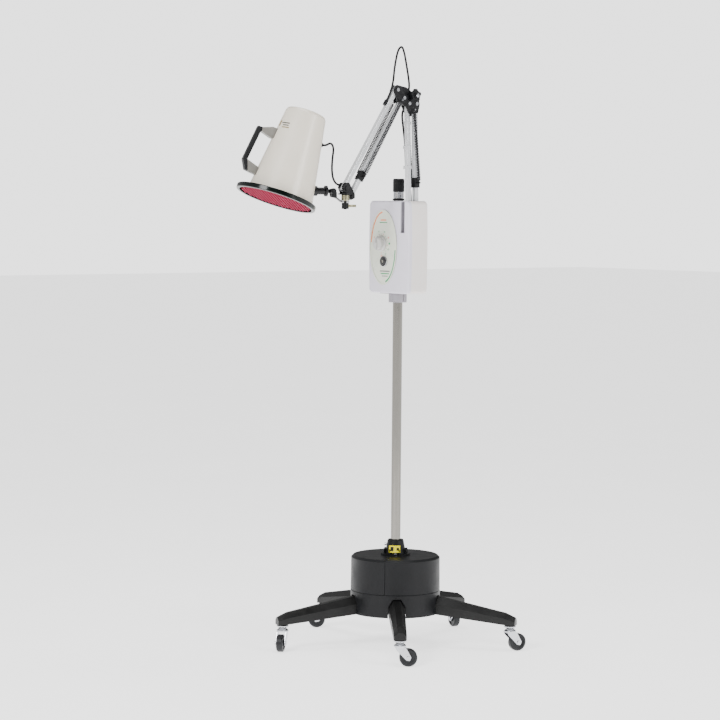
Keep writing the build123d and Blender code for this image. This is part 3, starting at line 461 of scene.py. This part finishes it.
def smooth_line(route):
    """Points in mm on the smooth NURBS line that has the route as its control points."""
    data = bpy.data.curves.new("route", "CURVE")
    data.dimensions = "3D"
    data.resolution_u = 10
    spline = data.splines.new("NURBS")
    spline.points.add(len(route) - 1)
    for point, place in zip(spline.points, route):
        point.co = (*place, 1.0)
    spline.order_u = 3
    spline.use_endpoint_u = True
    carrier = bpy.data.objects.new("route", data)
    bpy.context.scene.collection.objects.link(carrier)
    bpy.context.view_layer.update()
    mesh = bpy.data.meshes.new_from_object(carrier)
    points = [tuple(vertex.co) for vertex in mesh.vertices]
    bpy.data.objects.remove(carrier)
    bpy.data.meshes.remove(mesh)
    return points


def cable(name, route):
    """A cable mesh in mm along its smooth line, with that line in metres and its length."""
    line = smooth_line(route)
    vertices, faces = tube_data(line, CABLE_D / 2, 20)
    piece = new_piece(name, vertices, faces, MATERIAL["cable_black"], None, smooth=True)
    path = [tuple(c * MM for c in point) for point in line]
    length = sum((Vector(b) - Vector(a)).length for a, b in zip(path, path[1:]))
    return piece, path, length


def add_cords():
    """The held arm cable, the free loop, and the head cable in two spans that meet over the link."""
    arm, _, _ = cable("arm_cable_run", ARM_CABLE_ROUTE)
    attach(arm, "lower_front")
    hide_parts("arm_cable")
    loop, path, length = cable("loop_cable_run", LOOP_ROUTE)
    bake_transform(loop)
    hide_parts("loop_cable")
    lower, path, length = cable("head_cable_lower", HEAD_CABLE_LOWER)
    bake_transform(lower)
    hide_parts("head_cable")
    upper, path, length = cable("head_cable_upper", HEAD_CABLE_UPPER)
    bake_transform(upper)
    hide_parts("head_cable")


dress_cad_nodes()
add_cords()


# ---------------------------------------------------------------- springs
COIL_STEPS = 12


def spring_line(start, end):
    """Helix points in mm between two hook points, with a straight lead at each end."""
    start = Vector(start)
    end = Vector(end)
    axis = (end - start).normalized()
    out = axis.orthogonal().normalized()
    side = axis.cross(out)
    hook_end = SPRING_LEAD - 4.0
    points = [start, start + axis * hook_end]
    body = (end - start).length - 2 * SPRING_LEAD
    turns = int(body / SPRING_PITCH)
    steps = turns * COIL_STEPS
    for k in range(steps + 1):
        turn = 2 * pi * turns * k / steps
        centre = start + axis * (SPRING_LEAD + body * k / steps)
        points.append(centre + (out * cos(turn) + side * sin(turn)) * SPRING_COIL_R)
    points += [end - axis * hook_end, end]
    return points


def add_springs():
    """Two coils beside each tube, from its anchor block to the elbow's hook pins."""
    pairs = (("lower_springs", LOWER_ANCHOR, LOWER_HOOK, "lower_rear"),
             ("upper_springs", UPPER_ANCHOR, UPPER_HOOK, "upper_bottom"))
    for node, low, high, body in pairs:
        for label, sign in (("left", -1), ("right", 1)):
            x = ARM_X + sign * SPRING_OFFSET
            line = spring_line((x, *low), (x, *high))
            vertices, faces = tube_data(line, SPRING_WIRE_R, 6)
            steel = MATERIAL["spring_steel"]
            coil = new_piece(f"{node}_{label}", vertices, faces, steel, None, smooth=True)
            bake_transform(coil)
            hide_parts(node)


add_springs()


# ---------------------------------------------------------------- lamp head
LAMP_PITCH = 10.8
LAMP_R = 4.3
LAMP_HEIGHT = 3.2
LAMP_ROW_STEP = LAMP_PITCH * 0.866
LAMP_EDGE_GAP = 6.0


def add_lamps():
    """Close lattice of domed red lamps over the board, each with a pale lit core."""
    reach = BOARD_R - LAMP_EDGE_GAP
    domes = ([], [])
    cores = ([], [])
    rows = int(reach / LAMP_ROW_STEP) + 1
    columns = int(reach / LAMP_PITCH) + 2
    for row in range(-rows, rows + 1):
        y = row * LAMP_ROW_STEP
        shift = LAMP_PITCH / 2 if row % 2 else 0.0
        for column in range(-columns, columns + 1):
            x = column * LAMP_PITCH + shift
            if x * x + y * y > reach * reach:
                continue
            add_dome(domes, x, y, -2.0, LAMP_R, LAMP_HEIGHT, 10)
            add_dome(cores, x + 0.8, y - 0.6, -4.3, 1.5, 1.3, 6)
    new_piece("lamp_domes", domes[0], domes[1], MATERIAL["led_dome"], "head", smooth=True)
    new_piece("lamp_cores", cores[0], cores[1], MATERIAL["led_core"], "head", smooth=True)


def add_dome(target, x, y, z, radius, height, sides):
    """Adds one closed dome, hanging down from z, to a (vertices, faces) pair."""
    vertices, faces = target
    first = len(vertices)
    rings = ((1.0, 0.0), (0.86, 0.5), (0.5, 0.87))
    for scale, drop in rings:
        for side in range(sides):
            turn = 2 * pi * side / sides
            across = radius * scale
            local = Vector((x + across * cos(turn), y + across * sin(turn), z - height * drop))
            vertices.append(HEAD @ local)
    vertices.append(HEAD @ Vector((x, y, z - height)))
    tip = len(vertices) - 1
    for ring in range(len(rings) - 1):
        for side in range(sides):
            a = first + ring * sides + side
            b = first + ring * sides + (side + 1) % sides
            faces.append((a, b, b + sides, a + sides))
    top = first + (len(rings) - 1) * sides
    for side in range(sides):
        faces.append((top + side, top + (side + 1) % sides, tip))
    faces.append(tuple(first + side for side in range(sides)))


def patch_faces(steps):
    """Faces of a thin curved label: an inner and an outer skin of one row each, and the edges between."""
    faces = []
    row = steps + 1
    for k in range(steps):
        faces.append((k, k + 1, row + k + 1, row + k))
        faces.append((2 * row + k, 2 * row + k + 1, 3 * row + k + 1, 3 * row + k))
        faces.append((k, k + 1, 2 * row + k + 1, 2 * row + k))
        faces.append((row + k, row + k + 1, 3 * row + k + 1, 3 * row + k))
    faces.append((0, row, 3 * row, 2 * row))
    faces.append((steps, row + steps, 3 * row + steps, 2 * row + steps))
    return faces


def cone_patch(name, angle, width, low, high, lift, material, steps=8):
    """A thin label that follows the shell's cone: angle in degrees about the shell's axis."""
    vertices = []
    for layer in (0.05, lift):
        for z in (low, high):
            radius = SHELL_BASE_R - SHELL_TAPER * (z - RIM_HIGH) + layer
            for k in range(steps + 1):
                turn = radians(angle) + (k / steps - 0.5) * width / radius
                local = Vector((SHELL_OFFSET + radius * cos(turn), radius * sin(turn), z))
                vertices.append(HEAD @ local)
    return new_piece(name, vertices, patch_faces(steps), material, "head")


HEAD_LABEL_ANGLE = 208.0


def add_head_label():
    """Printed label with a plain badge and generic bars in place of text."""
    marks = ((190, 206, 9, -22, "ink_gold"), (198, 201, 30, 0, "ink_dark"), (191.5, 194.5, 22, 3, "ink_dark"),
             (185, 188, 26, 4, "ink_gold"))
    for index, (low, high, width, offset, ink) in enumerate(marks):
        name = f"head_label_mark_{index + 1}"
        cone_patch(name, HEAD_LABEL_ANGLE + offset, width, low, high, PRINT_T, MATERIAL[ink])


def add_head_trim():
    """Lamps, label and the rubber grommet where the head cable enters the shell."""
    add_lamps()
    add_head_label()
    entry = Vector(shell_wall_point(CABLE_ENTRY_HEIGHT, 0.0))
    outward = (Vector(shell_wall_point(CABLE_ENTRY_HEIGHT, 1.0)) - entry).normalized()
    place = Matrix.Translation(entry) @ outward.to_track_quat("Z", "Y").to_matrix().to_4x4()
    profile = ((3.2, -2), (4.3, -2), (4.3, 0.4), (7.0, 0.6), (7.0, 2.4), (4.6, 6.5), (3.2, 6.5))
    lathe("head_cable_grommet", profile, place, MATERIAL["black_plastic"], "head")


add_head_trim()


# ---------------------------------------------------------------- control panel
def oval_arc(name, from_deg, to_deg, inner, outer, lift, material):
    """A printed band along the oval panel's edge, between two angles."""
    steps = 40
    half_w = PANEL_SIZE[0] / 2
    half_h = PANEL_SIZE[1] / 2
    outline = []
    for inset, sweep in ((outer, range(steps + 1)), (inner, range(steps, -1, -1))):
        for k in sweep:
            turn = radians(from_deg + (to_deg - from_deg) * k / steps)
            outline.append(((half_w - inset) * cos(turn), (half_h - inset) * sin(turn)))
    return prism(name, outline, PRINT_T, panel_place(*PANEL_CENTRE, lift), material, "control_box")


def dial_mark(name, angle, radius, width, length, material):
    """A tick beside the knob at an angle from straight up, clockwise."""
    x, z = KNOB_PLACE
    turn = Matrix.Rotation(-radians(angle), 4, "Z")
    place = panel_place(x, z) @ turn @ Matrix.Translation((0, radius, 0))
    return prism(name, rounded_outline(width, length, width * 0.4), PRINT_T, place, material, "control_box")


def dial_number(text, angle, radius, size, material):
    """A raised number on the dial."""
    data = bpy.data.curves.new(f"dial_{text}", "FONT")
    data.body = text
    data.size = size * MM
    data.extrude = 0.0001
    data.align_x = "CENTER"
    data.align_y = "CENTER"
    carrier = bpy.data.objects.new(f"dial_text_{text}", data)
    bpy.context.scene.collection.objects.link(carrier)
    bpy.context.view_layer.update()
    mesh = bpy.data.meshes.new_from_object(carrier)
    bpy.data.objects.remove(carrier)
    x, z = KNOB_PLACE
    x += radius * sin(radians(angle))
    z += radius * cos(radians(angle))
    place = panel_place(x, z, 0.1)
    place.translation = place.translation * MM
    mesh.transform(place)
    mesh.materials.clear()
    mesh.materials.append(material)
    piece = bpy.data.objects.new(f"dial_number_{text}", mesh)
    bpy.context.scene.collection.objects.link(piece)
    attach(piece, "control_box")


def add_panel_print():
    """Outline and bands of the oval, the dial's ticks and numbers, and plain bars in place of text."""
    oval_arc("panel_outline", 0, 359, 0.9, -0.4, 0.05, MATERIAL["ink_grey"])
    oval_arc("panel_band_orange", 95, 172, 8.0, 4.2, 0.05, MATERIAL["ink_orange"])
    oval_arc("panel_band_green", -78, -4, 9.0, 4.2, 0.05, MATERIAL["ink_green"])
    for index in range(13):
        angle = -60 + index * 20
        ink = MATERIAL["ink_red"] if index % 4 == 0 else MATERIAL["ink_grey"]
        length = 4.5 if index % 2 == 0 else 2.6
        dial_mark(f"dial_tick_{index + 1}", angle, 27.0, 1.1, length, ink)
    numbers = (("0", -62, "ink_red"), ("10", -20, "ink_green"), ("20", 22, "ink_green"),
               ("30", 62, "ink_red"), ("40", 118, "ink_green"), ("50", 148, "ink_green"),
               ("60", 178, "ink_red"))
    for text, angle, ink in numbers:
        dial_number(text, angle, 35.5, 7.5, MATERIAL[ink])
    dial_mark("dial_dot", 90, 36.0, 6.0, 6.0, MATERIAL["ink_green"])
    x, z = PANEL_CENTRE
    bars = ((0, 78, 26, 3.2, "ink_orange"), (0, 71, 34, 2.4, "ink_green"), (8, -68, 44, 3.0, "ink_grey"),
            (8, -75, 38, 3.0, "ink_green"), (8, -82, 26, 2.2, "ink_grey"))
    for index, (dx, dz, width, height, ink) in enumerate(bars):
        bar = rounded_outline(width, height, height * 0.45)
        place = panel_place(x + dx, z + dz)
        prism(f"panel_bar_{index + 1}", bar, PRINT_T, place, MATERIAL[ink], "control_box")


FLUTE_COUNT = 24
FLUTE_REACH = 18.3


def add_knob_detail():
    """Flutes round the timer knob and a pointer line on its face."""
    x, z = KNOB_PLACE
    place = panel_place(x, z)
    outline = rounded_outline(1.8, 2.2, 0.6, 3)
    for index in range(FLUTE_COUNT):
        turn = Matrix.Rotation(radians(360 / FLUTE_COUNT * index), 4, "Z")
        rib = place @ turn @ Matrix.Translation((0, FLUTE_REACH, 7.0))
        prism(f"knob_flute_{index + 1}", outline, 8.5, rib, MATERIAL["knob_grey"], "timer")
    pointer = place @ Matrix.Translation((0, 9, 20.05))
    prism("knob_pointer", rounded_outline(1.6, 14, 0.7), 0.3, pointer, MATERIAL["ink_dark"], "timer")


def add_switch_detail():
    """Bright rim round the switch and a pale mark on its button."""
    x, z = SWITCH_PLACE
    place = panel_place(x, z)
    rim = ((14.2, 1.6), (15.4, 1.6), (15.4, 2.6), (14.2, 3.2))
    lathe("switch_rim", rim, place, MATERIAL["zinc_steel"], "control_box")
    prism("switch_mark", rounded_outline(1.4, 7, 0.6), 0.3, place @ Matrix.Translation((0, 0, 5.6)),
          MATERIAL["label_cream"], "switch")


def add_box_screws():
    """Four screws that hold the box's halves together from behind."""
    profile = ((0.01, -14), (1.7, -14), (1.7, 0), (3.4, 0), (3.2, 1.2), (1.8, 1.9), (0.01, 1.2))
    backwards = Matrix(((-1, 0, 0), (0, 0, 1), (0, 1, 0))).to_4x4()
    for index, (x, z) in enumerate(SCREW_PLACES):
        place = Matrix.Translation((x, BOX_BACK_Y, z)) @ backwards
        lathe(f"box_screw_{index + 1}", profile, place, MATERIAL["zinc_steel"], "control_box", 24)


add_panel_print()
add_knob_detail()
add_switch_detail()
add_box_screws()


# ---------------------------------------------------------------- arm, mast and base trim
def x_place(point, x):
    """A place on an axis along +X through an arm point (y, z)."""
    rotation = Matrix(((0, 0, 1), (1, 0, 0), (0, 1, 0))).to_4x4()
    return Matrix.Translation((x, *point)) @ rotation


def add_slot_liner():
    """Two darkened-lavender cheeks inside the box's arm slot: painted shade in the recess."""
    outline = [(-35.5, 1187), (-14, 1187), (-14, 1277.5), (-35.5, 1277.5)]
    for name, x in (("slot_liner_inner", 51.2), ("slot_liner_outer", 70.6)):
        # The cheeks take the darkened lavender: painted shade inside the slot
        prism(name, outline, 1.2, x_place((0, 0), x), MATERIAL["lavender_painted_shade"], "control_box")


def add_arm_trim():
    """Caps, nut, bushing and wing of the arm's clamps."""
    add_slot_liner()
    lathe("wrist_hub_cap", ((0.01, 0), (12.5, 0), (12.5, 4.4), (11.4, 5.6), (0.01, 5.6)), x_place(C1, 71.05),
          MATERIAL["black_plastic"], "wrist")
    lathe("elbow_nut", ((0.01, 0), (6.2, 0), (6.2, 1.6), (4.6, 3.0), (0.01, 3.2)), x_place((-9, 1578), 90.7),
          MATERIAL["zinc_steel"], "elbow_clamp", 6)
    sleeve = Matrix.Translation((*STUD, 1279.0))
    bushing = ((10.55, 0), (11.0, 0.6), (11.0, 15.4), (10.55, 16.0))
    lathe("wrist_bushing", bushing, sleeve, MATERIAL["olive_zinc"], "wrist")
    lever = Matrix.Translation((*STUD, 1261.4)) @ Matrix.Rotation(radians(35), 4, "Z")
    wing = [(10.2, -4.6), (24, -6.5), (30, -5.2), (31.5, 0), (30, 5.2), (24, 6.5), (10.2, 4.6)]
    piece = prism("swivel_wing", wing, 7.2, lever, MATERIAL["olive_zinc"], "swivel_clamp")
    weld_and_soften(piece, width=1.2)


def add_cable_clips():
    """Three straps that hold the arm cable to the front lower tube."""
    for index, distance in enumerate((205.0, 262.0, 330.0)):
        y, z = along(A0, LOWER_LEAN, distance)
        tilt = Matrix.Rotation(radians(LOWER_LEAN), 4, "X")
        place = Matrix.Translation((ARM_X, y, z)) @ tilt
        band(f"cable_clip_{index + 1}", place, "lower_front")


def add_mast_neck():
    """Bright sleeve and black ring on the mast, where it comes out of the box."""
    neck = Matrix.Translation((0, 0, 1287.0))
    sleeve = ((MAST_BORE_R, 0), (14.6, 0.4), (14.6, 18.6), (MAST_BORE_R, 18.9))
    lathe("mast_neck_sleeve", sleeve, neck, MATERIAL["zinc_steel"], "base")
    ring = ((MAST_BORE_R, -6), (17.2, -6), (17.2, -1.5), (15.5, -0.4), (MAST_BORE_R, -0.4))
    lathe("mast_neck_ring", ring, neck, MATERIAL["black_plastic"], "base")


def band(name, place, body):
    """A cable clip: a thin strap round the tube and the cable beside it."""
    half = TUBE / 2
    outer = [(half + 1.0, -half - 1.0), (half + 1.0, half + 1.0), (-half - 1, half + 1.0), (-half - 7.6, 3.9),
             (-half - 7.6, -5.2), (-half - 1.0, -half - 1.0)]
    inner = [(half + 0.1, -half - 0.1), (half + 0.1, half + 0.1), (-half - 0.4, half + 0.1),
             (-half - 6.8, 3.4), (-half - 6.8, -4.7), (-half - 0.4, -half - 0.1)]
    height = 4.5
    vertices = []
    for outline in (outer, inner):
        for z in (-height, height):
            vertices += [place @ Vector((u, v, z)) for u, v in outline]
    count = len(outer)
    faces = []
    for k in range(count):
        nxt = (k + 1) % count
        faces.append((k, nxt, count + nxt, count + k))
        faces.append((2 * count + k, 2 * count + nxt, 3 * count + nxt, 3 * count + k))
        faces.append((k, nxt, 2 * count + nxt, 2 * count + k))
        faces.append((count + k, count + nxt, 3 * count + nxt, 3 * count + k))
    return new_piece(name, vertices, faces, MATERIAL["white_tube"], body)


BOOT_BASE_R = 29.0
BOOT_BASE_Z = 272.0
BOOT_TAPER = 0.184
BOOT_RIB = 6.6
BOOT_LABEL_ANGLE = -45.0
BOOT_LABEL_STEPS = 8


def add_boot_label():
    """Plain yellow label on the boot's front, with two dark generic marks; the yellow has a painted glow."""
    # The yellow label's emission is a painted glow
    marks = (("boot_label", 0, 34, 271, 291, 0.4, "label_yellow_painted_glow"),
             ("boot_label_mark_1", -12, 9, 275, 287, 0.6, "ink_dark"),
             ("boot_label_mark_2", 16, 7, 277, 285, 0.6, "ink_dark"))
    for name, offset, width, low, high, lift, ink in marks:
        vertices = []
        for layer in (BOOT_RIB, BOOT_RIB + lift):
            for z in (low, high):
                radius = BOOT_BASE_R - (z - BOOT_BASE_Z) * BOOT_TAPER + layer
                for k in range(BOOT_LABEL_STEPS + 1):
                    share = k / BOOT_LABEL_STEPS - 0.5
                    turn = radians(BOOT_LABEL_ANGLE + offset) + share * width / radius
                    vertices.append((radius * cos(turn), radius * sin(turn), z))
        new_piece(name, vertices, patch_faces(BOOT_LABEL_STEPS), MATERIAL[ink], "base")


add_arm_trim()
add_cable_clips()
add_mast_neck()
add_boot_label()


# ---------------------------------------------------------------- studio
BACKDROP = 2.5
ROOM_LIGHT = 2.0
FLOOR_GLOW = 1.75
FLOOR_REACH = 30.0
LIGHT_SIZE = 1.6
# Brightness of the room all the way round, as (share of the turn, grey)
ROOM_BANDS = ((0.0, 0.3), (0.2, 0.3), (0.26, 0.04), (0.285, 0.04), (0.31, 1.0), (0.335, 0.04), (0.5, 0.04),
              (0.56, 0.35), (0.72, 0.35), (0.8, 0.05), (1.0, 0.3))


def area_light(name, place, power, target):
    """A soft square light at a place, aimed at a target, in metres and watts."""
    data = bpy.data.lights.new(name, "AREA")
    data.shape = "SQUARE"
    data.size = LIGHT_SIZE
    data.energy = power
    light = bpy.data.objects.new(name, data)
    light.location = place
    light.rotation_euler = (Vector(target) - Vector(place)).to_track_quat("-Z", "Y").to_euler()
    bpy.context.scene.collection.objects.link(light)


def add_world():
    """White backdrop for the camera, and for light and reflections a room with bright and dark sides."""
    world = bpy.data.worlds.new("studio")
    world.use_nodes = True
    tree = world.node_tree
    tree.nodes.clear()
    output = tree.nodes.new("ShaderNodeOutputWorld")
    room = tree.nodes.new("ShaderNodeBackground")
    backdrop = tree.nodes.new("ShaderNodeBackground")
    backdrop.inputs["Color"].default_value = (1, 1, 1, 1)
    backdrop.inputs["Strength"].default_value = BACKDROP
    coordinates = tree.nodes.new("ShaderNodeTexCoord")
    split = tree.nodes.new("ShaderNodeSeparateXYZ")
    turn = tree.nodes.new("ShaderNodeMath")
    turn.operation = "ARCTAN2"
    bands = tree.nodes.new("ShaderNodeMapRange")
    bands.inputs["From Min"].default_value = -pi
    bands.inputs["From Max"].default_value = pi
    ramp = tree.nodes.new("ShaderNodeValToRGB")
    ramp.color_ramp.elements[0].position = ROOM_BANDS[0][0]
    ramp.color_ramp.elements[1].position = ROOM_BANDS[-1][0]
    for place, _ in ROOM_BANDS[1:-1]:
        ramp.color_ramp.elements.new(place)
    for element, (_, grey) in zip(ramp.color_ramp.elements, ROOM_BANDS):
        element.color = (grey, grey, grey, 1)
    room.inputs["Strength"].default_value = ROOM_LIGHT
    paths = tree.nodes.new("ShaderNodeLightPath")
    mix = tree.nodes.new("ShaderNodeMixShader")
    tree.links.new(coordinates.outputs["Generated"], split.inputs[0])
    tree.links.new(split.outputs["Y"], turn.inputs[0])
    tree.links.new(split.outputs["X"], turn.inputs[1])
    tree.links.new(turn.outputs[0], bands.inputs["Value"])
    tree.links.new(bands.outputs["Result"], ramp.inputs["Fac"])
    tree.links.new(ramp.outputs["Color"], room.inputs["Color"])
    tree.links.new(paths.outputs["Is Camera Ray"], mix.inputs["Fac"])
    tree.links.new(room.outputs[0], mix.inputs[1])
    tree.links.new(backdrop.outputs[0], mix.inputs[2])
    tree.links.new(mix.outputs[0], output.inputs["Surface"])
    bpy.context.scene.world = world


def add_studio():
    """Pale floor, white surroundings and three soft lights."""
    mesh = bpy.data.meshes.new("floor")
    corners = [(sx * FLOOR_REACH, sy * FLOOR_REACH, 0) for sx, sy in ((-1, -1), (1, -1), (1, 1), (-1, 1))]
    mesh.from_pydata(corners, [], [(0, 1, 2, 3)])
    pale = finish("floor", (0.93, 0.93, 0.93), 0.6, 0, 40, 2, 0.01, 0.05, 0.02, emission=FLOOR_GLOW)
    mesh.materials.append(pale)
    floor = bpy.data.objects.new("floor", mesh)
    bpy.context.scene.collection.objects.link(floor)
    add_world()
    area_light("key", (1.0, -4.4, 3.4), 190, (0, 0, 1.0))
    area_light("fill", (4.8, 1.2, 2.4), 110, (0, 0, 0.9))
    area_light("top", (0, 0, 4.2), 50, (0, 0, 0))


add_studio()
